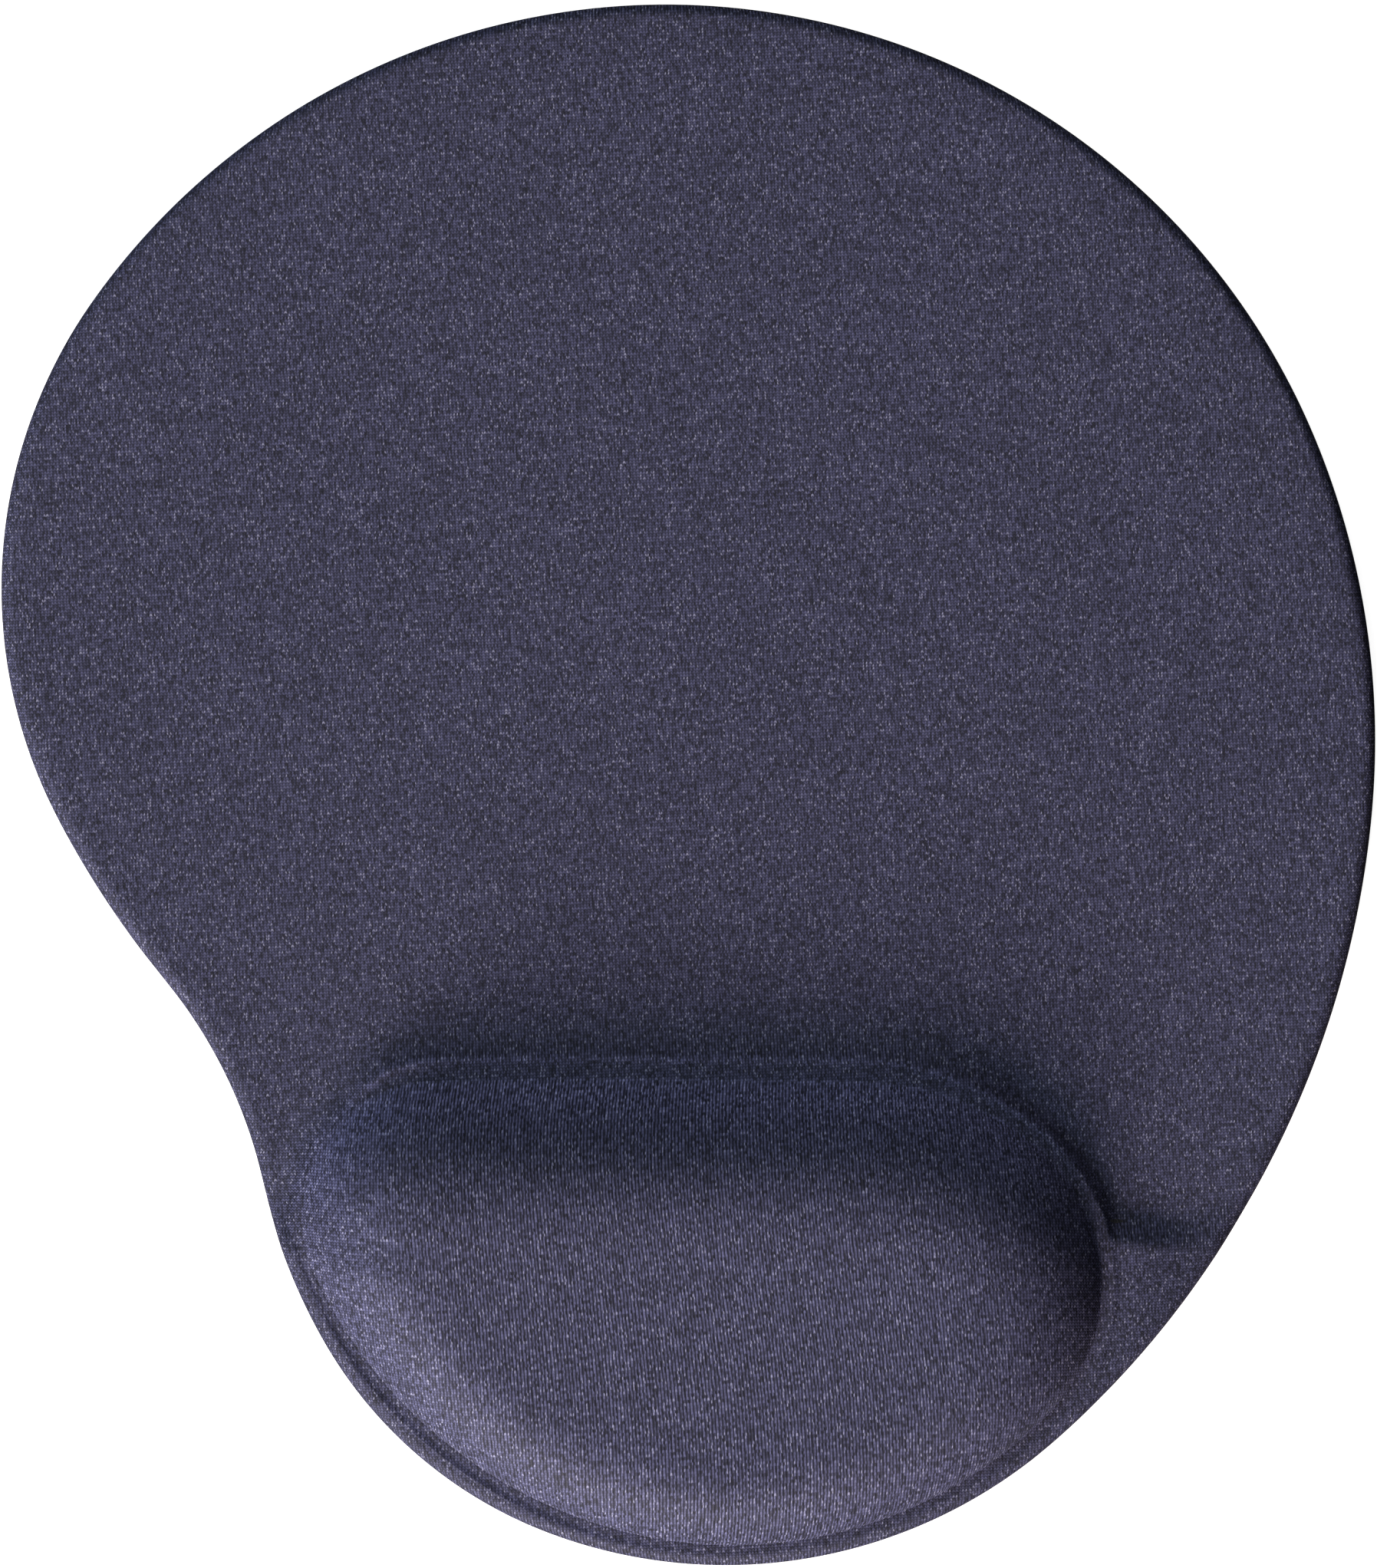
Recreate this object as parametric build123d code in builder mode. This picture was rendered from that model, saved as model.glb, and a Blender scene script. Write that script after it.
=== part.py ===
"""Mouse mat with a gel wrist rest at its near end.

Millimetres. +Z is up, -Y is the user's side and +X is to the user's right. The origin is the
centre of the footprint on the desk. The mat is a bonded stack of soft layers, from the desk up:
non-slip base, base adhesive, mat foam, moulded rest platform, pouch adhesive, gel pouch, and a
stretch cloth with its backing film over everything.
"""
import os
from math import cos, radians, sin

from build123d import *

# Heights above the desk.
MAT_TOP = 5.0                # flat mousing area
PLATFORM_TOP = 8.4           # ledge round the cushion
CUSHION_TOP = 21.0           # crown of the cushion

# Thicknesses of the layers.
BASE = 1.4
ADHESIVE = 0.3
CLOTH = 0.6
BACKING = 0.3
POUCH_FILM = 0.3

# The teardrop outline: tangent arcs as (radius, turn in degrees), counter-clockwise from the
# right-hand side. A negative turn is a hollow. One more arc closes the loop.
MAT_START = (110.0, -4.1)
MAT_HEADING = 85.0
MAT_ARCS = (
    (127.0, 27.9),           # upper right
    (113.0, 121.8),          # far end
    (80.0, 62.7),            # left shoulder
    (148.0, 12.1),
    (78.0, -26.7),           # hollow in the left side
    (94.0, 16.6),
    (70.0, 39.2),            # lower left
    (80.0, 62.7),            # near end
)
EDGE_ROUND = 2.2             # roll of the cloth over the rim
BASE_CHAMFER = 0.5           # bevel round the underside of the base

# The foot of the cushion: a straight back, then tangent arcs round the near side.
FOOT_START = (27.0, -47.7)
FOOT_BACK = 67.5
FOOT_ARCS = (
    (21.5, 114.5),           # left corner
    (75.0, 51.0),            # lower left
    (71.0, 60.0),            # near side
    (29.0, 95.0),            # right end
)
FLANK = 19.0                 # plan width over which the cushion curves up to its crown
CROWN_SECTIONS = 7

# The platform under the cushion, with a ramp behind it. Below the heel line it reaches the rim.
LEDGE = 3.0                  # flat ledge round the cushion's foot
SLOPE = 40.0                 # lean of the platform's sides from upright, in degrees
RAMP_RUN = 12.0              # plan length of the ramp behind the ledge
RAMP_MIDDLE = -6.0
RAMP_TOP_WIDTH = 74.0
RAMP_FOOT_WIDTH = 96.0
RAMP_CORNER = 5.0
HEEL_LINE = -74.0
NEAR_END = -130.0            # a little beyond the near end of the mat
HEEL_WIDTH = 200.0

# How far the foam and the gel lie below the outside of the cloth.
FOAM_DEPTH = CLOTH + BACKING
GEL_DEPTH = FOAM_DEPTH + POUCH_FILM

# Levels where one flat layer gives way to the next.
FOAM_FLOOR = BASE + ADHESIVE
PLATFORM_FLOOR = MAT_TOP - FOAM_DEPTH
POUCH_FLOOR = PLATFORM_TOP - FOAM_DEPTH
FILM_FLOOR = POUCH_FLOOR + ADHESIVE
GEL_FLOOR = FILM_FLOOR + POUCH_FILM


def heading_vector(degrees):
    return (cos(radians(degrees)), sin(radians(degrees)))


def tangent_outline(first, arcs, inset):
    """Face inside a first line or arc, the tangent arcs that follow it and one closing arc."""
    with BuildSketch() as outline:
        with BuildLine():
            add(first)
            previous = first
            for radius, turn in arcs:
                previous = JernArc(previous @ 1, previous % 1, radius, turn)
            TangentArc(previous @ 1, first @ 0, tangent=previous % 1)
        make_face()
        if inset:
            offset(amount=-inset)
    return outline.sketch


def mat_outline(inset=0.0):
    radius, turn = MAT_ARCS[0]
    first = JernArc(MAT_START, heading_vector(MAT_HEADING), radius, turn)
    return tangent_outline(first, MAT_ARCS[1:], inset)


def cushion_foot(inset=0.0):
    first = PolarLine(FOOT_START, FOOT_BACK, 180)
    return tangent_outline(first, FOOT_ARCS, inset)


def rounded_mat(top, inset, floor):
    """The footprint raised from the floor to the top, with its upper rim rolled over."""
    face = mat_outline(inset)
    with BuildPart() as mat:
        with BuildSketch(Plane.XY.offset(floor)):
            add(face)
        extrude(amount=top - floor)
        fillet(mat.faces().sort_by(Axis.Z)[-1].edges(), EDGE_ROUND - inset)
    return mat.part


def rest_block(inset, floor):
    """Platform of the wrist rest: ledge and heel with sloping sides, and the ramp behind."""
    top = PLATFORM_TOP - inset
    rise = PLATFORM_TOP - MAT_TOP
    depth = top - floor
    ledge = cushion_foot(inset - LEDGE)
    limits = rounded_mat(top, inset, floor)
    ledge_back = ledge.bounding_box().max.Y
    heel_back = HEEL_LINE - inset
    with BuildPart() as block:
        with BuildSketch(Plane.XY.offset(top)):
            add(ledge)
            with Locations((0, (heel_back + NEAR_END) / 2)):
                Rectangle(HEEL_WIDTH, heel_back - NEAR_END)
        extrude(amount=-depth, taper=-SLOPE)
        with BuildSketch(Plane.XY.offset(top)):
            with Locations((RAMP_MIDDLE, ledge_back)):
                RectangleRounded(RAMP_TOP_WIDTH, RAMP_RUN, RAMP_CORNER, align=(Align.CENTER, Align.MAX))
        with BuildSketch(Plane.XY.offset(top - rise)):
            with Locations((RAMP_MIDDLE, ledge_back + RAMP_RUN)):
                RectangleRounded(RAMP_FOOT_WIDTH, 2 * RAMP_RUN, RAMP_CORNER, align=(Align.CENTER, Align.MAX))
        loft()
        add(limits, mode=Mode.INTERSECT)
    return block.part


def cushion(inset, floor):
    """Domed cushion: its foot raised as a prism, then lofted through a quarter ellipse."""
    rise = CUSHION_TOP - PLATFORM_TOP - inset
    reach = FLANK - inset
    foot = cushion_foot(inset)
    with BuildPart() as dome:
        with BuildSketch(Plane.XY.offset(floor)):
            add(foot)
        extrude(amount=PLATFORM_TOP - floor)
        for step in range(CROWN_SECTIONS):
            angle = radians(90 * step / (CROWN_SECTIONS - 1))
            with BuildSketch(Plane.XY.offset(PLATFORM_TOP + rise * sin(angle))):
                add(foot)
                if step:
                    offset(amount=-reach * (1 - cos(angle)))
        loft()
    return dome.part


def skin(inset, floor):
    """Everything inside the outside surface drawn in by the inset, down to the floor."""
    mat = rounded_mat(MAT_TOP - inset, inset, floor)
    block = rest_block(inset, floor)
    dome = cushion(inset, floor)
    with BuildPart() as whole:
        add(mat)
        add(block)
        add(dome)
    return whole.part


outside = skin(0.0, BASE)
cloth_back = skin(CLOTH, BASE)
foam_surface = skin(FOAM_DEPTH, BASE)
gel_outside = cushion(GEL_DEPTH, GEL_FLOOR)
pouch_foot = cushion_foot(FOAM_DEPTH)

# Stretch cloth over the whole top, rolled down the rim as far as the base.
with BuildPart() as cover_cloth:
    add(outside)
    add(cloth_back, mode=Mode.SUBTRACT)

# Film bonded to the back of the cloth.
with BuildPart() as cover_backing_film:
    add(cloth_back)
    add(foam_surface, mode=Mode.SUBTRACT)

# Domed film that holds the gel down.
with BuildPart() as gel_pouch_top_film:
    add(foam_surface)
    split(bisect_by=Plane.XY.offset(GEL_FLOOR), keep=Keep.TOP)
    add(gel_outside, mode=Mode.SUBTRACT)

# Soft gel that carries the wrist.
with BuildPart() as gel_core:
    add(gel_outside)

# Flat film that closes the gel pouch from below.
with BuildPart() as gel_pouch_bottom_film:
    with BuildSketch(Plane.XY.offset(FILM_FLOOR)):
        add(pouch_foot)
    extrude(amount=POUCH_FILM)

# Adhesive sheet that holds the pouch on the platform.
with BuildPart() as pouch_adhesive:
    with BuildSketch(Plane.XY.offset(POUCH_FLOOR)):
        add(pouch_foot)
    extrude(amount=ADHESIVE)

# Moulded foam block that lifts the cushion; its back is the ramp.
with BuildPart() as rest_platform:
    add(foam_surface)
    split(bisect_by=Plane.XY.offset(PLATFORM_FLOOR), keep=Keep.TOP)
    split(bisect_by=Plane.XY.offset(POUCH_FLOOR), keep=Keep.BOTTOM)

# Foam sheet under the mousing area and the platform.
with BuildPart() as mat_foam:
    add(foam_surface)
    split(bisect_by=Plane.XY.offset(FOAM_FLOOR), keep=Keep.TOP)
    split(bisect_by=Plane.XY.offset(PLATFORM_FLOOR), keep=Keep.BOTTOM)

# Adhesive between the foam and the base.
adhesive_face = mat_outline(FOAM_DEPTH)
with BuildPart() as base_adhesive:
    with BuildSketch(Plane.XY.offset(BASE)):
        add(adhesive_face)
    extrude(amount=ADHESIVE)

# Non-slip sheet that the mat stands on, bevelled round its underside.
footprint = mat_outline()
with BuildPart() as base_sheet:
    with BuildSketch():
        add(footprint)
    extrude(amount=BASE)
    chamfer(base_sheet.faces().sort_by(Axis.Z)[0].edges(), BASE_CHAMFER)

pieces = {
    "cover_cloth": cover_cloth,
    "cover_backing_film": cover_backing_film,
    "gel_pouch_top_film": gel_pouch_top_film,
    "gel_core": gel_core,
    "gel_pouch_bottom_film": gel_pouch_bottom_film,
    "pouch_adhesive": pouch_adhesive,
    "rest_platform": rest_platform,
    "mat_foam": mat_foam,
    "base_adhesive": base_adhesive,
    "base_sheet": base_sheet,
}
os.makedirs("parts", exist_ok=True)
for name, piece in pieces.items():
    piece.part.label = name
    export_step(piece.part, f"parts/{name}.step")
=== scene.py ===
"""Looks of the mouse mat with a gel wrist rest: stretch cloth, gel, foam and non-slip rubber.

Metres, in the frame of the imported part. Every soft layer is one mesh of rings and rays: the rays
spread from the middle of the cushion, and the rings run from there over the cushion's foot, the
ledge, the ramp and the flat mat, and round the rolled rim to the base.
"""
from math import cos, radians, sin, tau

import bmesh
import bpy
import numpy as np
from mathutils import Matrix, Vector
from mathutils.kdtree import KDTree


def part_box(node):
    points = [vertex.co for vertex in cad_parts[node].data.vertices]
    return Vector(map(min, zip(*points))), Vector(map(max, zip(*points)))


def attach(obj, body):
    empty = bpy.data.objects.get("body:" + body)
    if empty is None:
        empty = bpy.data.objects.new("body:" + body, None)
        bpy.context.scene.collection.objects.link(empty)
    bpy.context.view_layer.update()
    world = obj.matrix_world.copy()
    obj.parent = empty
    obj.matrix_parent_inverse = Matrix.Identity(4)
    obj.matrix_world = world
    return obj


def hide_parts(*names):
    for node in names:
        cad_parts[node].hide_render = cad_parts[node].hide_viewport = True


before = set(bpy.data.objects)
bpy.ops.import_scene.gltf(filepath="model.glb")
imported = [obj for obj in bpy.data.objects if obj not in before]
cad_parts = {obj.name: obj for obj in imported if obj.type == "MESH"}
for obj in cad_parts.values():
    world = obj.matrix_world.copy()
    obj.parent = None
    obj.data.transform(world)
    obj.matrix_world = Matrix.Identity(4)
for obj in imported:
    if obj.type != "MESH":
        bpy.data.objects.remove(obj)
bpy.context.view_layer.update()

MM = 0.001

# Levels and thicknesses, read from the frame.
BASE_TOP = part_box("base_sheet")[1].z
CROWN_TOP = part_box("cover_cloth")[1].z
CLOTH = CROWN_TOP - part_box("cover_backing_film")[1].z
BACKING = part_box("cover_backing_film")[1].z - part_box("gel_pouch_top_film")[1].z
POUCH_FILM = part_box("gel_pouch_top_film")[1].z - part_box("gel_core")[1].z
LINING = CLOTH + BACKING
FOAM_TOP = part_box("mat_foam")[1].z
MAT_TOP = FOAM_TOP + LINING
LEDGE_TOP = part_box("rest_platform")[1].z + LINING
GEL_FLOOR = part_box("gel_core")[0].z
RISE = LEDGE_TOP - MAT_TOP

# How finely the soft layers are meshed.
RAYS = 504
CUSHION_RINGS = 30
TOP_RINGS = 58
ROLL_RINGS = 7
CUSHION_CROWDING = 1.4       # above 1, the cushion's rings crowd towards its foot
TOP_CROWDING = 3.0           # the higher, the more the mat's rings crowd towards the cushion
CROWDED_LENGTH = 100 * MM    # shorter rays crowd their rings less
PLATFORM_RINGS = 24
LOOP_POINTS = 1800

EDGE_ROLL = 2.2 * MM         # radius of the cloth's roll over the rim
HEM_TUCK = 0.35 * MM         # how far the hem turns in under the rim
CLEARANCE = 0.02 * MM        # gap between two soft layers
UNEVENNESS = 0.03 * MM       # how much the flat mat waves up and down
WAVE_LENGTH = 10 * MM        # the waves' unit of length
WAVE_START = 8 * MM          # how far from the cushion's foot the waves reach their full height

# Round the cushion, by the direction that its foot faces, in degrees: 0 is right, 90 is away from
# the user, 180 is left and 270 is towards the user. Lengths are in mm.
SECOND_STEP = 0.8 * MM       # small rise from the ledge to the cushion's foot
STEP_SHARE = 0.7             # share of the ledge's width that the small rise takes up
LEDGE_WIDTH = {0: 2.4, 60: 2.6, 88: 3.4, 108: 3.0, 128: 0.8, 172: 0.8, 200: 2.4, 330: 2.6}
RAMP_RUN = {0: 2.3, 45: 2.5, 60: 6.0, 75: 17.0, 90: 22.0, 112: 21.0, 140: 14.0, 172: 5.0, 220: 2.0, 340: 2.2}
RAMP_HOLLOW = {0: 2.0, 50: 2.0, 75: 4.0, 90: 6.0, 112: 6.0, 140: 4.0, 172: 2.4, 340: 2.0}    # 1 is straight
SOFTENING = np.linspace(-0.25, 0.25, 5) * MM    # spread over which the cloth rounds off the ledge
FLANK_WIDTH = {0: 26, 40: 26, 70: 25, 90: 24, 140: 24, 185: 21, 205: 17, 230: 15, 270: 13.5, 310: 17, 340: 24}
FLANK_EASE = {0: 0.9, 45: 0.95, 70: 1.1, 90: 1.2, 140: 1.2, 190: 1.1, 230: 0.8, 270: 0.6, 310: 0.7}
FLANK_FADE = 2.7             # how gently the flank runs into the crown
CROWN_TILT = 0.05            # slope of the crown down towards the user

# The heel: below this line the platform reaches the rim. By X, in mm: (line Y, width of the slope).
HEEL = {
    -72: (-73.0, 5.0),
    -60: (-73.0, 4.0),
    62: (-70.6, 2.6),
    70: (-71.6, 3.8),
    78: (-71.8, 5.5),
    87: (-70.4, 10.0),
}
HEEL_RIM = 1.7 * MM          # how far the heel's rim stands above the flat mat
HEEL_FALL = 16 * MM          # plan length over which the heel falls from the ledge to its rim
HEEL_START = 0.2             # share of that length that stays level next to the cushion
BLEND = 0.6 * MM             # rounding where the ramp runs into the heel

CREASE_DEPTH = 0.6 * MM      # pressed line round the cushion's foot
CREASE_WIDTH = {0: 1.1, 90: 1.3, 120: 2.5, 145: 6.0, 180: 3.5, 205: 1.3}

# The foam block thins out to this before it ends on the mat's foam.
FEATHER_EDGE = 0.08 * MM

# The non-slip base and the studs moulded under it.
BASE_INSET = 0.3 * MM
BEVEL = 0.4 * MM
STUD_HEIGHT = 0.3 * MM
STUD_RADIUS = 1.1 * MM
STUD_TAPER = 0.6             # a stud's end against its root
STUD_ROOT = 0.1 * MM         # how deep a stud starts in the sheet
STUD_PITCH = 3.6 * MM
STUD_SIDES = 8

# The knit: spacing of the columns and rows of stitches, and how the columns lean.
WALE = 0.525 * MM
COURSE = 0.456 * MM
LEAN = 3.0                   # degrees, on the flat mat
CROWN_LEAN = 7.0             # more lean where the cloth is dragged over the cushion
DOME_TAKE_UP = 0.35          # how much of the dome's extra length the crown's stitches take up
STITCH_SLANT = 1.0           # how far a V's legs slope, in rows for each column
STITCH_CONTRAST = 0.85       # spread of tone between the legs of stitches
CLUSTER_CONTRAST = 0.22      # spread of tone between patches of a few stitches
CROWN_LINES = 0.95           # how much the columns stand out on the crown
CROWN_LINES_FADE = 4         # the higher, the nearer to the foot that stays so
SLOPE_LINES = 1.2            # how much lines stand out where the cloth slopes
CUSHION_PALENESS = 0.30       # how much paler the cloth is made over the whole cushion, where 1 is the palest it is made
FOOT_HIGHLIGHT = 1.8 * MM         # painted highlight inside the cushion's back foot, where the flank's steep start catches the light
FOOT_HIGHLIGHT_WIDTH = 4.5 * MM
LEDGE_HIGHLIGHT_WIDTH = 0.5 * MM  # painted highlight over the ledge's back edge, where the edge catches the light
HIGHLIGHT_FACING = 106.0          # degrees; both painted highlights are strongest where the foot faces this way
HIGHLIGHT_FULL = 0.65             # cosine of the turn away from there within which they are full
HIGHLIGHT_END = 0.15              # and of the turn at which they end
PALENESS_AND_HIGHLIGHT_TONE = 2.05          # how much paler the cloth is made where it is palest, in the painted highlights
CLUSTER = 1.0 * MM
MOTTLE = 22 * MM             # size of the faint large patches
MOTTLE_CONTRAST = 0.08
COLUMN_YARN = 0.12           # where the gaps start, as a share of a stitch from its middle
ROW_YARN = 0.1
LEAST_COLUMN_GAP = 0.25      # depth of a gap that the pull has closed, where 1 is open
LEAST_ROW_GAP = 0.2
FOLD_GAP = 0.25              # depth and half width of the fold in the middle of a V
FOLD_WIDTH = 0.1
PAINTED_GLINT_LUCK = 0.88            # legs with more luck than this get a painted glint
YARN_TONE = 1.9              # tone of the yarn, and of the gaps between it
GAP_TONE = 0.15
CLOTH_COLOUR = (0.052, 0.054, 0.109)
# Colour added to the cloth for the painted glints.
PAINTED_GLINT_COLOUR = (0.34, 0.34, 0.37)
SHEEN_COLOUR = (0.72, 0.72, 0.85, 1.0)

# Lights: azimuth and elevation in degrees, watts, side in metres, colour.
LIGHT_DISTANCE = 4.5
FRONT_LOW = (243, 12, 86, 1.8, (0.84, 0.95, 0.88))
FRONT = (248, 24, 196, 1.8, (1.0, 0.82, 0.77))
SIDE = (187, 38, 36, 1.8, (0.66, 0.84, 1.0))
BACK = (128, 48, 40, 1.8, (0.92, 0.94, 0.92))
AMBIENT = 0.01
AMBIENT_COLOUR = (0.95, 0.95, 1.0)
FLOOR_GLOW = 0.95

FLOOR_REACH = 3.0            # from the middle of the floor to its sides
CAMERA_LENS = 170.0          # millimetres
SENSOR_HEIGHT = 36.0
PICTURE_MARGIN = 1.006       # height of the picture over the height of the mat


# ---------------------------------------------------------------- outlines, from the frame


def top_loop(node):
    """Plan points in order, counter-clockwise, round the top face of a flat CAD node."""
    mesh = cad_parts[node].data
    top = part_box(node)[1].z
    plan = [(round(v.co.x, 6), round(v.co.y, 6)) for v in mesh.vertices]
    edges = set()
    for polygon in mesh.polygons:
        if polygon.normal.z > 0.9 and abs(polygon.center.z - top) < 0.01 * MM:
            corners = [plan[i] for i in polygon.vertices]
            edges.update(zip(corners, corners[1:] + corners[:1]))
    border = {start: end for start, end in edges if (end, start) not in edges}
    first = point = min(border)
    loop = []
    while not loop or point != first:
        loop.append(point)
        point = border[point]
    return np.array(loop)


def even_loop(points, count):
    """A smooth closed curve through the points, as that many points evenly spaced along it."""
    ahead = np.roll(points, -1, axis=0)
    step = np.linalg.norm(ahead - points, axis=1)
    before = np.roll(step, 1)
    leaving = (ahead - points) / step[:, None]
    arriving = np.roll(leaving, 1, axis=0)
    tangent = (leaving * before[:, None] + arriving * step[:, None]) / (step + before)[:, None]
    along = np.concatenate([[0.0], np.cumsum(step)])
    target = np.arange(count) * along[-1] / count
    i = np.searchsorted(along, target, side="right") - 1
    j = (i + 1) % len(points)
    h = step[i][:, None]
    t = ((target - along[i]) / step[i])[:, None]
    return (
        (2 * t**3 - 3 * t**2 + 1) * points[i]
        + (t**3 - 2 * t**2 + t) * h * tangent[i]
        + (3 * t**2 - 2 * t**3) * points[j]
        + (t**3 - t**2) * h * tangent[j]
    )


def outward(loop):
    """Unit outward normals of a counter-clockwise loop."""
    along = np.roll(loop, -1, axis=0) - np.roll(loop, 1, axis=0)
    normal = np.stack([along[:, 1], -along[:, 0]], axis=1)
    return normal / np.linalg.norm(normal, axis=1)[:, None]


def by_angle(loop, centre, angles):
    """Where rays at these angles from the centre cross the loop."""
    arm = loop - centre
    angle = np.unwrap(np.arctan2(arm[:, 1], arm[:, 0]))
    reach = np.interp(angles, angle, np.hypot(arm[:, 0], arm[:, 1]), period=tau)
    return centre + reach[:, None] * np.stack([np.cos(angles), np.sin(angles)], axis=1)


def shared_angles(loops, centre, count):
    """Ray angles that space the crossings fairly evenly along all the loops."""
    fine = np.linspace(0, tau, 8 * count + 1)
    share = np.zeros(len(fine))
    for loop in loops:
        crossing = by_angle(loop, centre, fine)
        step = np.linalg.norm(np.diff(crossing, axis=0), axis=1)
        share[1:] += np.cumsum(step) / step.sum() / len(loops)
    return np.interp(np.arange(count) / count, share, fine)


rim_loop = even_loop(top_loop("base_sheet"), LOOP_POINTS)
pouch_loop = even_loop(top_loop("gel_pouch_bottom_film"), LOOP_POINTS)
foot_loop = pouch_loop + LINING * outward(pouch_loop)
MIDDLE = foot_loop.mean(axis=0)
angles = shared_angles([rim_loop, foot_loop], MIDDLE, RAYS)
foot = by_angle(foot_loop, MIDDLE, angles)
rim = by_angle(rim_loop, MIDDLE, angles)
rim_normal = outward(rim)
foot_normal = outward(foot)


# ---------------------------------------------------------------- distances from the foot


def nearest(loop, points):
    """Distance from each point to the loop, and the direction the loop faces there, in degrees."""
    tree = KDTree(len(loop))
    for i, (x, y) in enumerate(loop):
        tree.insert((x, y, 0), i)
    tree.balance()
    closest = np.array([tree.find((x, y, 0))[1] for x, y in points])
    gaps = []
    for start in (closest, closest - 1):
        edge = loop[(start + 1) % len(loop)] - loop[start]
        arm = points - loop[start]
        along = np.clip((arm * edge).sum(axis=1) / (edge**2).sum(axis=1), 0, 1)
        gaps.append(np.linalg.norm(arm - along[:, None] * edge, axis=1))
    normal = outward(loop)[closest]
    return np.minimum(*gaps), np.degrees(np.arctan2(normal[:, 1], normal[:, 0])) % 360


def soft_depth(loop, points, power=6):
    """Smooth depth of points inside a loop: near the loop it is the distance to it, and in the
    middle it levels off without a ridge. It is a mean of the loop's distances to a high power."""
    step = np.linalg.norm(np.roll(loop, -1, axis=0) - loop, axis=1)
    turn = np.linspace(-np.pi / 2, np.pi / 2, 4001)
    straight = np.trapz(np.cos(turn) ** (power - 2), turn)
    depth = np.empty(len(points))
    for start in range(0, len(points), 2000):
        arm = points[start:start + 2000, None, :] - loop[None, :, :]
        total = (step / (arm**2).sum(axis=2) ** (power / 2)).sum(axis=1)
        depth[start:start + 2000] = (total / straight) ** (-1 / (power - 1))
    return depth


def smooth(t):
    t = np.clip(t, 0, 1)
    return t * t * (3 - 2 * t)


def around(table, facing):
    """A value from a table by facing direction."""
    return np.interp(facing, list(table), list(table.values()), period=360)


# ---------------------------------------------------------------- the outside of the cover


def ramp_height(distance, facing):
    """Height above the flat mat of the ledge round the cushion and of the ramp beyond it."""
    width = around(LEDGE_WIDTH, facing) * MM
    run = around(RAMP_RUN, facing) * MM
    lip = SECOND_STEP * (1 - smooth(distance / (STEP_SHARE * width)))
    share = np.clip(1 - np.maximum(distance - width, 0) / run, 0, 1)
    return RISE * share ** around(RAMP_HOLLOW, facing) + lip


def heel_height(distance, plan):
    """Height above the flat mat of the heel, which falls from the ledge's level to its rim."""
    line, width = (
        np.interp(plan[:, 0] / MM, list(HEEL), [row[i] for row in HEEL.values()]) * MM
        for i in (0, 1)
    )
    plateau = HEEL_RIM + (RISE - HEEL_RIM) * (1 - smooth(distance / HEEL_FALL - HEEL_START))
    return plateau * smooth((line - plan[:, 1]) / width + 0.5)


def mat_height(plan):
    """Height of the cloth outside the cushion: ledge, ramp and heel over a nearly flat mat."""
    distance, facing = nearest(foot_loop, plan)
    ramp = np.mean([ramp_height(np.abs(distance + shift), facing) for shift in SOFTENING], axis=0)
    heel = heel_height(distance, plan)
    higher = (ramp + heel + np.sqrt((ramp - heel) ** 2 + BLEND**2) - BLEND) / 2
    crease = CREASE_DEPTH * np.exp(-((distance / (around(CREASE_WIDTH, facing) * MM)) ** 2))
    x, y = (plan / WAVE_LENGTH).T
    wave = np.sin(1.1 * x + 0.7 * y) + np.sin(0.6 * x - 1.3 * y + 2) + np.sin(1.7 * x + 1.9 * y + 4)
    return MAT_TOP + higher - crease + UNEVENNESS * wave * smooth(distance / WAVE_START)


def dome_height(plan, foot_level):
    """Height of the cloth over the cushion. Its flank is upright at the foot where its ease is
    below 1, and an S where its ease is above 1."""
    flat = plan.reshape(-1, 2)
    depth = soft_depth(foot_loop[::3], flat)
    distance, _ = nearest(foot_loop, flat)
    share = smooth(distance / MM)
    depth = (distance * (1 - share) + np.where(share > 0, depth, 0) * share).reshape(plan.shape[:2])
    facing = np.degrees(np.arctan2(foot_normal[:, 1], foot_normal[:, 0])) % 360
    climb = np.clip(depth / (around(FLANK_WIDTH, facing) * MM), 0, 1)
    ease = around(FLANK_EASE, facing)
    profile = (1 - (1 - climb) ** FLANK_FADE) ** ease
    back = foot[:, 1].max() - FLANK_WIDTH[90] * MM
    crown = CROWN_TOP - CROWN_TILT * np.maximum(back - plan[:, :, 1], 0)
    return foot_level + (crown - foot_level) * profile


def raised(plan, height):
    """Rings of plan points at their heights."""
    return np.concatenate([plan, height.reshape(*plan.shape[:2], 1)], axis=2)


def cushion_rings():
    """Rings from near the middle of the cushion to its foot, closer together towards the foot."""
    share = 1 - (1 - np.arange(1, CUSHION_RINGS + 1) / CUSHION_RINGS) ** CUSHION_CROWDING
    plan = MIDDLE + share[:, None, None] * (foot - MIDDLE)
    return raised(plan, dome_height(plan, mat_height(foot)))


def top_rings():
    """Rings from just outside the cushion's foot to where the rim starts to roll over."""
    length = np.linalg.norm(rim_in - foot, axis=1)
    growth = TOP_CROWDING * np.minimum(1, length / CROWDED_LENGTH)
    step = np.arange(1, TOP_RINGS + 1)[:, None] / TOP_RINGS
    share = np.expm1(growth * step) / np.expm1(growth)
    plan = foot + share[:, :, None] * (rim_in - foot)
    return raised(plan, mat_height(plan.reshape(-1, 2)))


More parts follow.
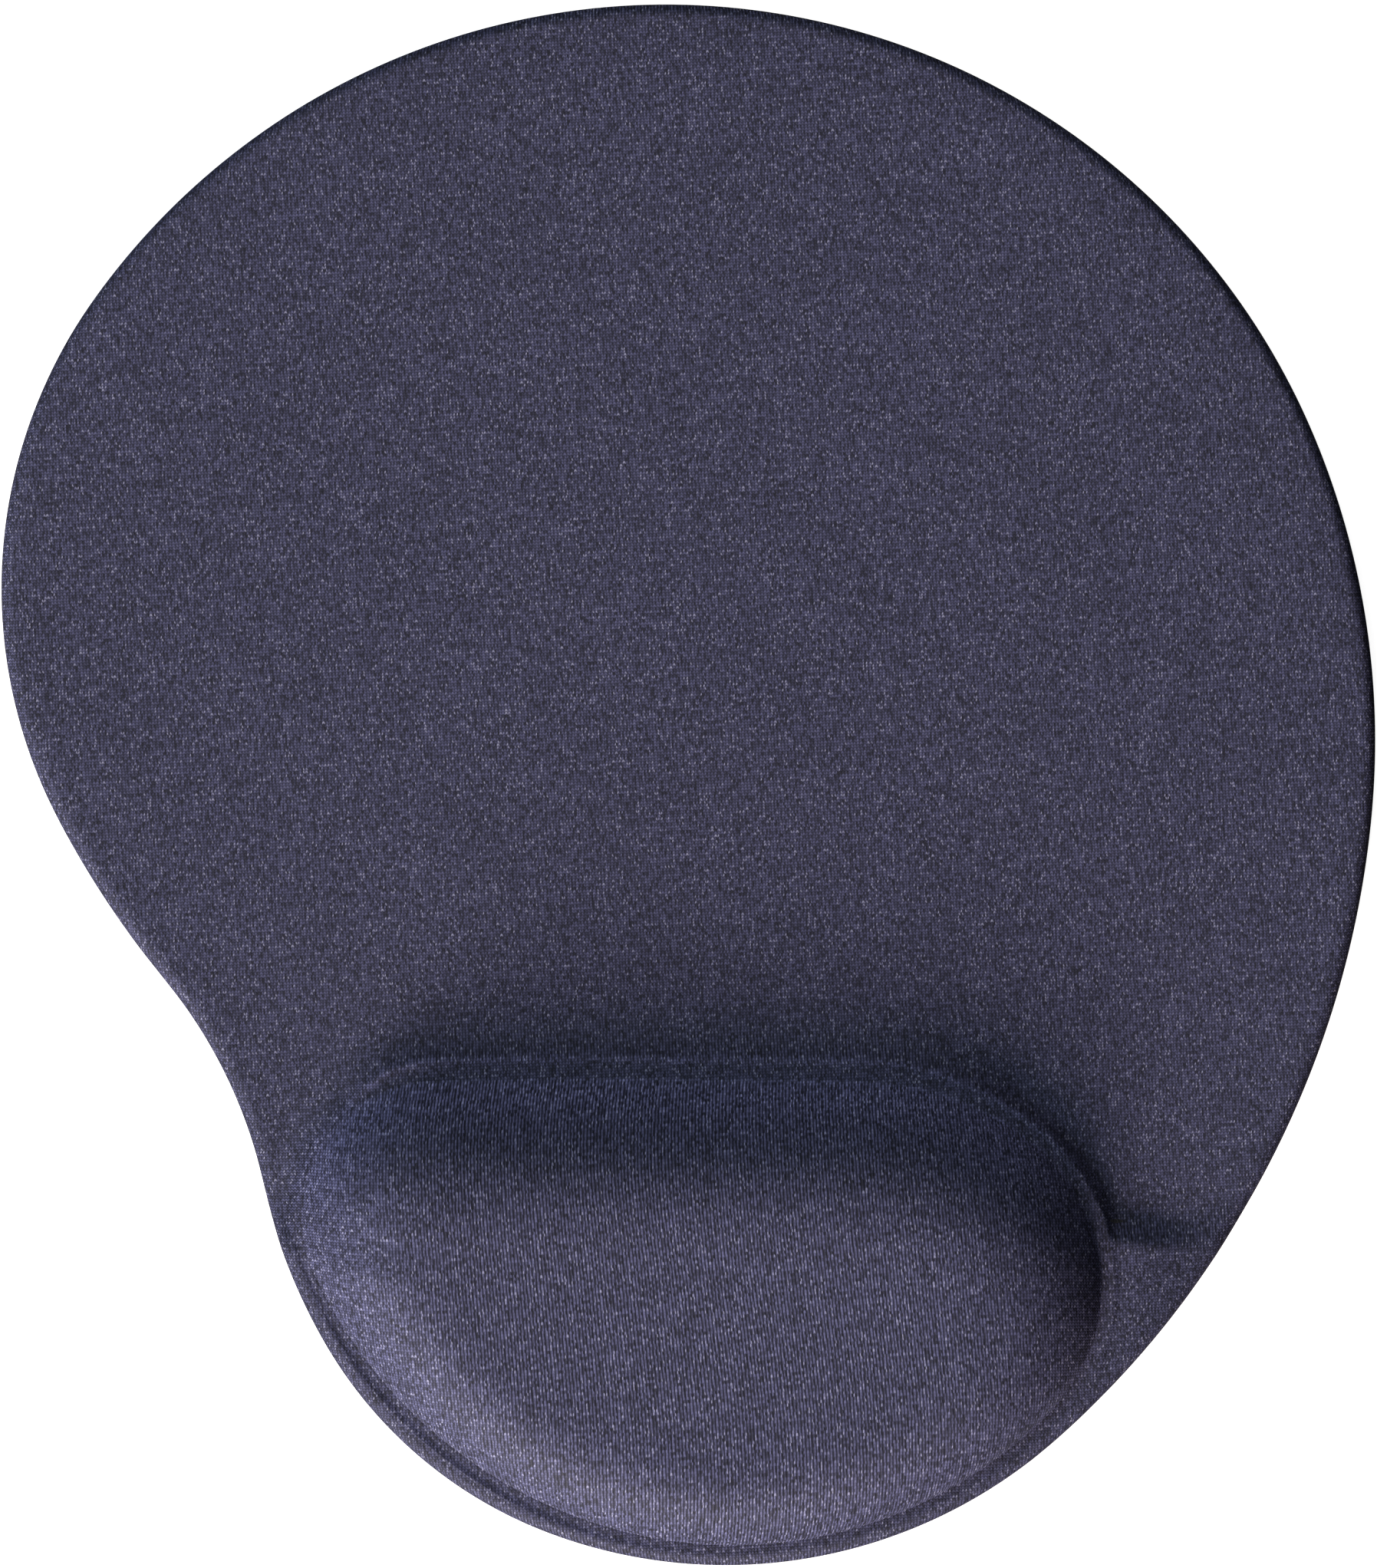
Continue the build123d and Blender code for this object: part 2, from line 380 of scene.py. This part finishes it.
def rim_rings(top):
    """Rings that roll over the rim and go down to the hem, and the cloth's length from the top."""
    rings = []
    lengths = []
    for step in range(1, ROLL_RINGS + 1):
        turn = tau / 4 * step / ROLL_RINGS
        plan = rim_in + EDGE_ROLL * np.sin(turn) * rim_normal
        rings.append(np.column_stack([plan, top - EDGE_ROLL * (1 - np.cos(turn))]))
        lengths.append(np.full(len(top), EDGE_ROLL * turn))
    wall = top - EDGE_ROLL - BASE_TOP
    for share in (0.25, 0.5, 0.75, 0.9, 1.0):
        plan = rim - HEM_TUCK * share**4 * rim_normal
        rings.append(np.column_stack([plan, BASE_TOP + wall * (1 - share)]))
        lengths.append(EDGE_ROLL * tau / 4 + wall * share)
    return np.array(rings), np.array(lengths)


def surface_normals(rings):
    """Unit normals of a grid of rings and rays, upwards on the flat."""
    outwards = np.gradient(rings, axis=0)
    round_ring = np.roll(rings, -1, axis=1) - np.roll(rings, 1, axis=1)
    normal = np.cross(outwards, round_ring)
    return normal / np.linalg.norm(normal, axis=2)[:, :, None]


def knit_places(rings, lengths):
    """Where each point of the cover lies on the flat cloth. Over the cushion the stitches take up
    part of the dome's extra length, and over the rim they follow the surface."""
    dome = rings[:CUSHION_RINGS]
    hub = np.broadcast_to(np.array([*MIDDLE, CROWN_TOP]), dome[:1].shape)
    step = np.diff(np.concatenate([hub, dome]), axis=0)
    along = np.cumsum(np.linalg.norm(step, axis=2), axis=0)
    even = np.cumsum(np.linalg.norm(step[:, :, :2], axis=2), axis=0)
    share = DOME_TAKE_UP * along / along[-1] + (1 - DOME_TAKE_UP) * even / even[-1]
    places = rings[:, :, :2].copy()
    places[:CUSHION_RINGS] = share[:, :, None] * (foot - MIDDLE)
    turn = radians(CROWN_LEAN - LEAN) * (1 - share**2)
    x, y = np.moveaxis(places[:CUSHION_RINGS], 2, 0)
    places[:CUSHION_RINGS, :, 0] = MIDDLE[0] + x * np.cos(turn) + y * np.sin(turn)
    places[:CUSHION_RINGS, :, 1] = MIDDLE[1] - x * np.sin(turn) + y * np.cos(turn)
    rolled = len(lengths)
    places[-rolled:] = rim_in + lengths[:, :, None] * rim_normal
    lean = radians(LEAN)
    x, y = np.moveaxis(places, 2, 0)
    return np.stack([x * np.cos(lean) + y * np.sin(lean), y * np.cos(lean) - x * np.sin(lean)], axis=2)


rim_in = rim - EDGE_ROLL * rim_normal
dome = cushion_rings()
top = top_rings()
roll, roll_lengths = rim_rings(top[-1, :, 2])
outside = np.concatenate([dome, top, roll])
normals = surface_normals(outside)
knit = knit_places(outside, roll_lengths)


# ---------------------------------------------------------------- meshes


def ring_mesh(name, rings, body="root"):
    """A closed mesh through the rings, in order, with a point in the middle of its first and last."""
    count = rings.shape[1]
    ring_points = rings.reshape(-1, 3)
    poles = np.stack([rings[0].mean(axis=0), rings[-1].mean(axis=0)])
    i = np.arange(count)
    j = (i + 1) % count
    starts = np.arange(len(rings) - 1)[:, None] * count
    quads = np.stack([starts + i, starts + count + i, starts + count + j, starts + j], axis=2)
    first = len(ring_points)
    last = (len(rings) - 1) * count
    caps = [(first, a, b) for a, b in zip(i, j)] + [(first + 1, last + b, last + a) for a, b in zip(i, j)]
    mesh = bpy.data.meshes.new(name)
    mesh.from_pydata(np.concatenate([ring_points, poles]), [], quads.reshape(-1, 4).tolist() + caps)
    mesh.shade_smooth()
    piece = bpy.data.objects.new(name, mesh)
    bpy.context.scene.collection.objects.link(piece)
    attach(piece, body)
    return piece


def shell(name, outer, inner):
    """A thin closed layer between two grids of rings."""
    return ring_mesh(name, np.concatenate([outer, inner[::-1]]))


def below_cover(depth, step=2):
    """The cover's outside drawn in by a depth, on every so many rays."""
    return (outside - depth * normals)[:, ::step]


def add_knit(piece, places):
    """The cloth's own coordinates, in metres, as a UV map. The points in the middle come last."""
    middle = np.broadcast_to(places[0].mean(axis=0), (2, 2))
    points = np.concatenate([places.reshape(-1, 2), places[::-1].reshape(-1, 2), middle])
    corner = np.empty(len(piece.data.loops), int)
    piece.data.loops.foreach_get("vertex_index", corner)
    layer = piece.data.uv_layers.new(name="knit")
    layer.data.foreach_set("uv", points[corner].ravel())


def add_share(piece, name, share):
    """A number from 0 to 1 at each point of both faces of the cover."""
    middle = [share[0].mean()] * 2
    points = np.concatenate([share.ravel(), share[::-1].ravel(), middle])
    attribute = piece.data.attributes.new(name, "FLOAT", "POINT")
    attribute.data.foreach_set("value", np.clip(points, 0, 1))


def flat_disc(reach, level, rings=6):
    """Rings that fill the cushion's outline, drawn in by a reach, at one level."""
    edge = (foot - reach * foot_normal)[::2]
    share = np.arange(1, rings + 1)[:, None, None] / rings
    plan = MIDDLE + share * (edge - MIDDLE)
    return np.concatenate([plan, np.full((*plan.shape[:2], 1), level)], axis=2)


def paleness_and_highlight_share():
    """How much paler the cloth is made at each point of the outside: most in painted highlights along
    the back foot of the cushion and over the back edge of the ledge, where the cloth catches the light, and
    less all over the rest of the cushion."""
    distance, facing = nearest(foot_loop, outside[:, :, :2].reshape(-1, 2))
    on_cushion = np.arange(len(outside))[:, None] < CUSHION_RINGS
    foot_highlight = np.exp(-(((distance - FOOT_HIGHLIGHT) / FOOT_HIGHLIGHT_WIDTH) ** 2)).reshape(outside.shape[:2])
    edge_highlight = np.exp(-(((distance - around(LEDGE_WIDTH, facing) * MM) / LEDGE_HIGHLIGHT_WIDTH) ** 2))
    cosine = np.cos(np.radians(facing - HIGHLIGHT_FACING))
    highlight_mask = smooth((cosine - HIGHLIGHT_END) / (HIGHLIGHT_FULL - HIGHLIGHT_END)).reshape(outside.shape[:2])
    # Painted highlights: a line just inside the back foot on the cushion and one along the ledge's back edge,
    # only where the foot faces back.
    line = np.where(on_cushion, foot_highlight, edge_highlight.reshape(outside.shape[:2])) * highlight_mask
    return CUSHION_PALENESS * on_cushion + (1 - CUSHION_PALENESS) * line


def make_cover():
    inner = outside - CLOTH * normals
    inner[-1, :, 2] = BASE_TOP
    cover = shell("stretch_cover", outside, inner)
    add_knit(cover, knit)
    on_dome = np.zeros(outside.shape[:2])
    on_dome[:CUSHION_RINGS] = 1 - (np.arange(CUSHION_RINGS)[:, None] / CUSHION_RINGS) ** CROWN_LINES_FADE
    add_share(cover, "wale_lines", SLOPE_LINES * np.abs(normals[:, :, 1]) + CROWN_LINES * on_dome)
    add_share(cover, "course_lines", SLOPE_LINES * np.abs(normals[:, :, 0]))
    # Paler cloth over the cushion, with painted highlights along its back foot and the ledge's back edge.
    add_share(cover, "paleness_and_painted_highlight", paleness_and_highlight_share())
    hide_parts("cover_cloth")
    return cover


def make_backing():
    """Film on the back of the cloth."""
    outer = below_cover(CLOTH + CLEARANCE)
    inner = below_cover(LINING)
    outer[-1, :, 2] = inner[-1, :, 2] = BASE_TOP
    film = shell("backing_film", outer, inner)
    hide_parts("cover_backing_film")
    return film


def make_pouch_film():
    """Domed film over the gel, closed down to the pouch's floor."""
    faces = []
    for depth in (LINING + CLEARANCE, LINING + POUCH_FILM):
        skirt = np.column_stack([foot - depth * foot_normal, np.full(RAYS, GEL_FLOOR)])[::2]
        faces.append(np.concatenate([below_cover(depth)[:CUSHION_RINGS - 1], skirt[None]]))
    film = shell("pouch_top_film", *faces)
    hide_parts("gel_pouch_top_film")
    return film


def make_gel():
    """Gel that fills the pouch."""
    crown = below_cover(LINING + POUCH_FILM + CLEARANCE)[:CUSHION_RINGS - 1]
    bottom = flat_disc(LINING + POUCH_FILM + CLEARANCE, GEL_FLOOR)
    gel = ring_mesh("gel_cushion", np.concatenate([crown, bottom[::-1]]))
    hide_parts("gel_core")
    return gel


def make_platform():
    """Moulded foam: a seat under the pouch, then the ledge, the ramp and the heel."""
    ring_foot = foot[::2]
    edge = (rim_in + (EDGE_ROLL - LINING) * rim_normal)[::2]
    share = np.linspace(0, 1, PLATFORM_RINGS)[:, None, None]
    plan = ring_foot + share * (edge - ring_foot)
    level = mat_height(plan.reshape(-1, 2)).reshape(plan.shape[:2]) - LINING
    # Past the place where the foam thins out, each ray's points stay there.
    thin = level < FOAM_TOP + FEATHER_EDGE
    end = np.where(thin.any(axis=0), thin.argmax(axis=0), PLATFORM_RINGS - 1)
    spread = (np.arange(1, PLATFORM_RINGS) / (PLATFORM_RINGS - 1))[:, None] * end
    plan = ring_foot + (spread / (PLATFORM_RINGS - 1))[:, :, None] * (edge - ring_foot)
    level = mat_height(plan.reshape(-1, 2)).reshape(plan.shape[:2]) - LINING
    level = np.clip(level, FOAM_TOP + FEATHER_EDGE, None)
    top = np.concatenate([plan, level[:, :, None]], axis=2)
    seat = flat_disc(LINING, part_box("rest_platform")[1].z)
    bottom = top[-1:].copy()
    bottom[:, :, 2] = FOAM_TOP
    foam = ring_mesh("foam_platform", np.concatenate([seat, top, bottom]))
    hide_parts("rest_platform")
    return foam


def make_base():
    """Non-slip sheet: a bevelled sheet with a hexagonal field of small moulded studs under it."""
    edge = (rim - BASE_INSET * rim_normal)[::2]
    levels = ((BASE_TOP, 0.0), (BASE_TOP - BEVEL, 0.0), (STUD_HEIGHT + BEVEL, 0.0), (STUD_HEIGHT, BEVEL))
    inside = MIDDLE + np.array([0.3, 0.7, 0.9])[:, None, None] * (edge - MIDDLE)
    top = [np.column_stack([plan, np.full(len(edge), BASE_TOP)]) for plan in inside]
    side = [np.column_stack([edge - inset * rim_normal[::2], np.full(len(edge), z)]) for z, inset in levels]
    under = [np.column_stack([plan, np.full(len(edge), STUD_HEIGHT)]) for plan in inside[::-1]]
    base = ring_mesh("non_slip_base", np.array(top + side + under))
    add_studs(base.data)
    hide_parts("base_sheet")
    return base


def stud_centres():
    """Plan points of a hexagonal grid that lie well inside the rim."""
    low, high = rim.min(axis=0), rim.max(axis=0)
    rows = np.arange(low[1], high[1], STUD_PITCH * np.sqrt(0.75))
    columns = np.arange(low[0], high[0], STUD_PITCH)
    x, y = np.meshgrid(columns, rows)
    x = x + np.where(np.arange(len(rows)) % 2, STUD_PITCH / 2, 0)[:, None]
    centres = np.column_stack([x.ravel(), y.ravel()])
    arm = centres - MIDDLE
    rim_reach = np.linalg.norm(rim - MIDDLE, axis=1)
    reach = np.interp(np.arctan2(arm[:, 1], arm[:, 0]), angles, rim_reach, period=tau)
    return centres[np.hypot(arm[:, 0], arm[:, 1]) < reach - STUD_PITCH]


def add_studs(mesh):
    """Adds the studs to the base's mesh: each a low closed cone frustum that starts in the sheet."""
    end = STUD_TAPER * STUD_RADIUS
    levels = ((STUD_HEIGHT + STUD_ROOT, STUD_RADIUS), (STUD_HEIGHT, STUD_RADIUS), (0.0, end))
    corner = np.arange(STUD_SIDES) * tau / STUD_SIDES
    circle = np.column_stack([np.cos(corner), np.sin(corner)])
    rings = [np.column_stack([radius * circle, np.full(STUD_SIDES, z)]) for z, radius in levels]
    stud = np.concatenate(rings)
    i = np.arange(STUD_SIDES)
    j = (i + 1) % STUD_SIDES
    sides = [[a + STUD_SIDES * k, a + STUD_SIDES * (k + 1), b + STUD_SIDES * (k + 1), b + STUD_SIDES * k]
             for k in range(len(levels) - 1) for a, b in zip(i, j)]
    ends = [list(i), list(i[::-1] + STUD_SIDES * (len(levels) - 1))]
    studs = bmesh.new()
    studs.from_mesh(mesh)
    for centre in stud_centres():
        points = [studs.verts.new((x + centre[0], y + centre[1], z)) for x, y, z in stud]
        for face in sides + ends:
            studs.faces.new([points[k] for k in face])
    studs.to_mesh(mesh)
    studs.free()


# ---------------------------------------------------------------- materials


class Paint:
    """One material's nodes. Each method adds a node and returns what it gives."""

    def __init__(self, name, **finish):
        self.material = bpy.data.materials.new(name)
        self.material.use_nodes = True
        self.tree = self.material.node_tree
        self.shader = self.tree.nodes["Principled BSDF"]
        for socket, value in finish.items():
            self.set(socket.replace("_", " "), value)

    def set(self, socket, value):
        self.join(self.shader.inputs[socket], value)

    def join(self, socket, value):
        if isinstance(value, bpy.types.NodeSocket):
            self.tree.links.new(value, socket)
        else:
            socket.default_value = value

    def node(self, kind, inputs, **settings):
        node = self.tree.nodes.new("ShaderNode" + kind)
        for setting, value in settings.items():
            setattr(node, setting, value)
        for socket, value in inputs.items():
            self.join(node.inputs[socket], value)
        return node

    def math(self, operation, *values):
        return self.node("Math", dict(enumerate(values)), operation=operation).outputs[0]

    def ramp(self, value, low, high):
        """0 at low, 1 at high and smooth between. Low may be the larger of the two."""
        inputs = {"Value": value, "From Min": low, "From Max": high}
        return self.node("MapRange", inputs, interpolation_type="SMOOTHSTEP").outputs[0]

    def span(self, value, least, most, low, high):
        """A value from least to most brought to the span from low to high."""
        inputs = {"Value": value, "From Min": least, "From Max": most, "To Min": low, "To Max": high}
        return self.node("MapRange", inputs).outputs[0]

    def spread(self, value, low, high):
        """A value from 0 to 1 brought to the span from low to high."""
        return self.span(value, 0.0, 1.0, low, high)

    def noise(self, place, size, detail=2.0):
        inputs = {"Vector": place, "Scale": 1 / size, "Detail": detail}
        return self.node("TexNoise", inputs).outputs["Fac"]

    def chance(self, *parts):
        """A random value from 0 to 1 for each set of whole numbers."""
        place = self.node("CombineXYZ", dict(enumerate(parts))).outputs[0]
        return self.node("TexWhiteNoise", {"Vector": place}).outputs["Value"]

    def times(self, colour, factor):
        inputs = {0: colour, "Scale": factor}
        return self.node("VectorMath", inputs, operation="SCALE").outputs[0]

    def plus(self, one, other):
        return self.node("VectorMath", {0: one, 1: other}, operation="ADD").outputs[0]

    def place(self):
        return self.node("TexCoord", {}).outputs["Object"]

    def bump(self, height, depth, strength=1.0):
        inputs = {"Height": height, "Distance": depth, "Strength": strength}
        self.set("Normal", self.node("Bump", inputs).outputs["Normal"])


def knit_cloth():
    """Fine knit: columns of V stitches with dark gaps between them. Each leg of a V has its own
    tone, and a few have painted glints. Stretched cloth shows as lines along the stretch."""
    paint = Paint("knit_cloth", Sheen_Weight=0.1, Sheen_Roughness=0.35, Sheen_Tint=SHEEN_COLOUR)
    u, v, _ = paint.node("SeparateXYZ", {0: paint.node("UVMap", {}, uv_map="knit").outputs[0]}).outputs
    wales = paint.math("DIVIDE", u, WALE)
    offset = paint.math("SUBTRACT", paint.math("FRACT", wales), 0.5)
    side = paint.math("ABSOLUTE", offset)
    slant = paint.math("MULTIPLY", side, STITCH_SLANT)
    courses = paint.math("ADD", paint.math("DIVIDE", v, COURSE), slant)
    step = paint.math("ABSOLUTE", paint.math("SUBTRACT", paint.math("FRACT", courses), 0.5))
    leg = paint.math("FLOOR", paint.math("MULTIPLY", wales, 2.0))
    row = paint.math("FLOOR", courses)

    # Yarn lies high in the middle of a stitch and sinks into the gaps round it. Lengthways pull
    # closes the gaps between rows and opens those between columns, and sideways pull the reverse.
    wale_lines = paint.node("Attribute", {}, attribute_name="wale_lines").outputs["Fac"]
    course_lines = paint.node("Attribute", {}, attribute_name="course_lines").outputs["Fac"]
    pull = paint.math("SUBTRACT", wale_lines, course_lines)
    column_depth = paint.span(pull, -1, 1, LEAST_COLUMN_GAP, 1.0)
    row_depth = paint.span(pull, -1, 1, 1.0, LEAST_ROW_GAP)
    column_gap = paint.math("MULTIPLY", paint.ramp(side, COLUMN_YARN, 0.5), column_depth)
    row_gap = paint.math("MULTIPLY", paint.ramp(step, ROW_YARN, 0.5), row_depth)
    middle_gap = paint.math("MULTIPLY", paint.ramp(side, FOLD_WIDTH, 0.0), FOLD_GAP)
    yarn = paint.math("SUBTRACT", 1.0, column_gap)
    for gap in (row_gap, middle_gap):
        yarn = paint.math("MULTIPLY", yarn, paint.math("SUBTRACT", 1.0, gap))

    place = paint.place()
    luck = paint.chance(leg, row, 0.0)
    stitch = paint.spread(luck, 1 - STITCH_CONTRAST, 1 + STITCH_CONTRAST)
    cluster = paint.spread(paint.noise(place, CLUSTER), 1 - CLUSTER_CONTRAST, 1 + CLUSTER_CONTRAST)
    mottle = paint.noise(place, MOTTLE, 3.0)
    mottle = paint.spread(mottle, 1 - MOTTLE_CONTRAST, 1 + MOTTLE_CONTRAST)
    # Paler over the cushion, with painted highlights along its back foot and the ledge's back edge; the
    # mottle is random tone.
    paleness_and_painted_highlight = paint.node("Attribute", {}, attribute_name="paleness_and_painted_highlight").outputs["Fac"]
    mottle_paleness_and_highlight = paint.math("MULTIPLY", mottle, paint.spread(paleness_and_painted_highlight, 1.0, PALENESS_AND_HIGHLIGHT_TONE))
    tone = paint.math("MULTIPLY", paint.math("MULTIPLY", stitch, cluster), mottle_paleness_and_highlight)
    tone = paint.math("MULTIPLY_ADD", paint.math("MULTIPLY", yarn, tone), YARN_TONE, GAP_TONE)
    # Painted glints on a few lucky legs, strongest where the yarn stands high.
    painted_glint = paint.math("MULTIPLY", paint.ramp(luck, PAINTED_GLINT_LUCK, 1.0), paint.math("POWER", yarn, 2.0))
    body = paint.times(CLOTH_COLOUR, tone)
    paint.set("Base Color", paint.plus(body, paint.times(PAINTED_GLINT_COLOUR, painted_glint)))
    paint.set("Roughness", paint.spread(yarn, 0.85, 0.6))
    paint.bump(yarn, 0.10 * MM, 0.5)
    return paint.material


def film(name, colour, roughness, **finish):
    """Thin plastic film: faint streaks from its rolling, and small wrinkles."""
    paint = Paint(name, **finish)
    place = paint.place()
    streak = paint.node("Mapping", {"Vector": place, "Scale": (1.0, 12.0, 1.0)}).outputs[0]
    streaks = paint.noise(streak, 40 * MM)
    paint.set("Base Color", paint.times(colour, paint.spread(streaks, 0.85, 1.15)))
    paint.set("Roughness", paint.spread(streaks, roughness - 0.08, roughness + 0.08))
    paint.bump(paint.noise(place, 3 * MM), 0.05 * MM)
    return paint.material


def gel():
    """Clear soft gel with a few cloudy swirls."""
    paint = Paint("clear_gel", Transmission_Weight=0.7, IOR=1.4)
    cloud = paint.noise(paint.place(), 12 * MM, 3.0)
    paint.set("Base Color", paint.times((0.55, 0.68, 0.78), paint.spread(cloud, 0.8, 1.1)))
    paint.set("Roughness", paint.spread(cloud, 0.08, 0.3))
    paint.bump(cloud, 0.1 * MM)
    return paint.material


def foam(name, colour, cell):
    """Closed-cell foam: a fine field of cells, paler on their walls."""
    paint = Paint(name, Specular_IOR_Level=0.3)
    place = paint.place()
    cells = paint.node("TexVoronoi", {"Vector": place, "Scale": 1 / cell}, feature="DISTANCE_TO_EDGE")
    wall = paint.ramp(cells.outputs["Distance"], 0.0, 0.25)
    patch = paint.spread(paint.noise(place, 25 * MM), 0.85, 1.15)
    shade = paint.math("MULTIPLY", paint.spread(wall, 1.25, 0.85), patch)
    paint.set("Base Color", paint.times(colour, shade))
    paint.set("Roughness", paint.spread(wall, 0.95, 0.75))
    paint.bump(wall, -0.08 * MM)
    return paint.material


def dry_adhesive():
    """Dull adhesive sheet with darker patches where it took up more dust."""
    paint = Paint("dry_adhesive")
    patch = paint.noise(paint.place(), 8 * MM, 4.0)
    paint.set("Base Color", paint.times((0.72, 0.66, 0.5), paint.spread(patch, 0.75, 1.1)))
    paint.set("Roughness", paint.spread(patch, 0.7, 0.9))
    paint.bump(patch, 0.05 * MM)
    return paint.material


def base_rubber():
    """Matt non-slip rubber: fine grain, faint dust and slightly polished studs."""
    paint = Paint("base_rubber", Specular_IOR_Level=0.35)
    place = paint.place()
    grain = paint.noise(place, 0.5 * MM, 3.0)
    dust = paint.ramp(paint.noise(place, 20 * MM, 4.0), 0.45, 0.8)
    level = paint.node("SeparateXYZ", {0: place}).outputs[2]
    worn = paint.ramp(level, 0.1 * MM, 0.0)
    shade = paint.math("ADD", paint.spread(grain, 0.7, 1.2), paint.math("MULTIPLY", dust, 0.6))
    paint.set("Base Color", paint.times((0.020, 0.020, 0.023), shade))
    polish = paint.math("MULTIPLY", worn, 0.25)
    paint.set("Roughness", paint.math("SUBTRACT", paint.spread(grain, 0.8, 0.95), polish))
    paint.bump(grain, 0.04 * MM)
    return paint.material


def paint_piece(piece, material):
    piece.data.materials.clear()
    piece.data.materials.append(material)


def paint_node(name, material):
    """A CAD node keeps its mesh and takes the material in its slot."""
    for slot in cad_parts[name].material_slots:
        slot.material = material


cover = make_cover()
paint_piece(cover, knit_cloth())
paint_piece(make_backing(), film("backing_film", (0.05, 0.05, 0.06), 0.5))
pouch_clear = film("pouch_film", (0.75, 0.78, 0.8), 0.2, Transmission_Weight=0.8)
paint_piece(make_pouch_film(), pouch_clear)
paint_piece(make_gel(), gel())
paint_piece(make_platform(), foam("platform_foam", (0.09, 0.09, 0.1), 0.8 * MM))
paint_piece(make_base(), base_rubber())
adhesive = dry_adhesive()
paint_node("gel_pouch_bottom_film", pouch_clear)
paint_node("pouch_adhesive", adhesive)
paint_node("base_adhesive", adhesive)
paint_node("mat_foam", foam("mat_foam", (0.07, 0.07, 0.08), 0.5 * MM))


# ---------------------------------------------------------------- stage, lights and camera


def make_floor():
    """Plain white floor that stays white under the object's shadow."""
    signs = ((-1, -1), (1, -1), (1, 1), (-1, 1))
    corners = [(FLOOR_REACH * x, FLOOR_REACH * y, 0) for x, y in signs]
    mesh = bpy.data.meshes.new("floor")
    mesh.from_pydata(corners, [], [(0, 1, 2, 3)])
    floor = bpy.data.objects.new("floor", mesh)
    bpy.context.scene.collection.objects.link(floor)
    white = (1.0, 1.0, 1.0, 1.0)
    glow = {"Emission_Color": white, "Emission_Strength": FLOOR_GLOW}
    paint = Paint("white_floor", Roughness=0.9, Base_Color=white, **glow)
    paint_piece(floor, paint.material)
    floor.visible_diffuse = False
    floor.visible_glossy = False


def make_light(name, azimuth, elevation, power, size, colour):
    """A square soft light aimed at the cushion, from an azimuth and an elevation in degrees."""
    data = bpy.data.lights.new(name, "AREA")
    data.energy = power
    data.size = size
    data.color = colour
    light = bpy.data.objects.new(name, data)
    bpy.context.scene.collection.objects.link(light)
    flat = cos(radians(elevation))
    towards = Vector((flat * cos(radians(azimuth)), flat * sin(radians(azimuth)), sin(radians(elevation))))
    light.location = LIGHT_DISTANCE * towards
    light.rotation_euler = towards.to_track_quat("Z", "Y").to_euler()


def make_world():
    """Faint even light from all round."""
    world = bpy.data.worlds.new("studio")
    world.use_nodes = True
    background = world.node_tree.nodes["Background"]
    background.inputs["Color"].default_value = (*AMBIENT_COLOUR, 1.0)
    background.inputs["Strength"].default_value = AMBIENT
    bpy.context.scene.world = world


def make_camera():
    """Straight overhead, with the far end of the mat at the top of the picture."""
    data = bpy.data.cameras.new("overhead")
    data.sensor_fit = "VERTICAL"
    data.sensor_height = SENSOR_HEIGHT
    data.lens = CAMERA_LENS
    camera = bpy.data.objects.new("overhead", data)
    bpy.context.scene.collection.objects.link(camera)
    picture_height = (rim[:, 1].max() - rim[:, 1].min()) * PICTURE_MARGIN
    camera.location = (0, 0, MAT_TOP - EDGE_ROLL + picture_height * CAMERA_LENS / SENSOR_HEIGHT)
    bpy.context.scene.camera = camera


make_floor()
make_light("front_low", *FRONT_LOW)
make_light("front", *FRONT)
make_light("side", *SIDE)
make_light("back", *BACK)
make_world()
make_camera()
bpy.context.scene.view_settings.view_transform = "Standard"
